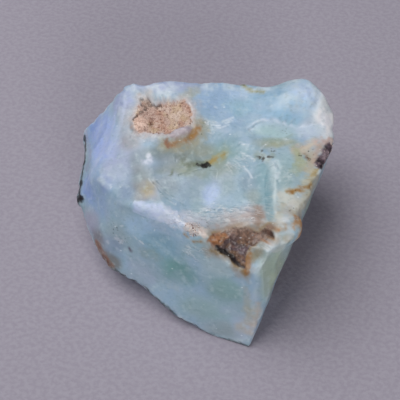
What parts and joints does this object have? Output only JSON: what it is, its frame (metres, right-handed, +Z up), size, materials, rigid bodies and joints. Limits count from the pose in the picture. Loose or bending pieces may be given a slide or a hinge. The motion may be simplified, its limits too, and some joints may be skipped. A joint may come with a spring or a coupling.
{
  "type": "rough andean blue opal",
  "caption": "Rough lump of pale blue-green opal with broken faces, a sandy crust patch and an iron-brown hollow, lying on a small flat.",
  "frame": {"origin": "middle of the bounding box, on the flat the stone rests on", "axes": "+X along the longest extent, +Y to the back of the stone, +Z up, the shortest extent"},
  "size_m": [0.0618, 0.057, 0.0292],
  "materials": {
    "opal": "milky, waxy fracture faces"
  },
  "bodies": {
    "root": {"opal": "opal"}
  },
  "joints": []
}
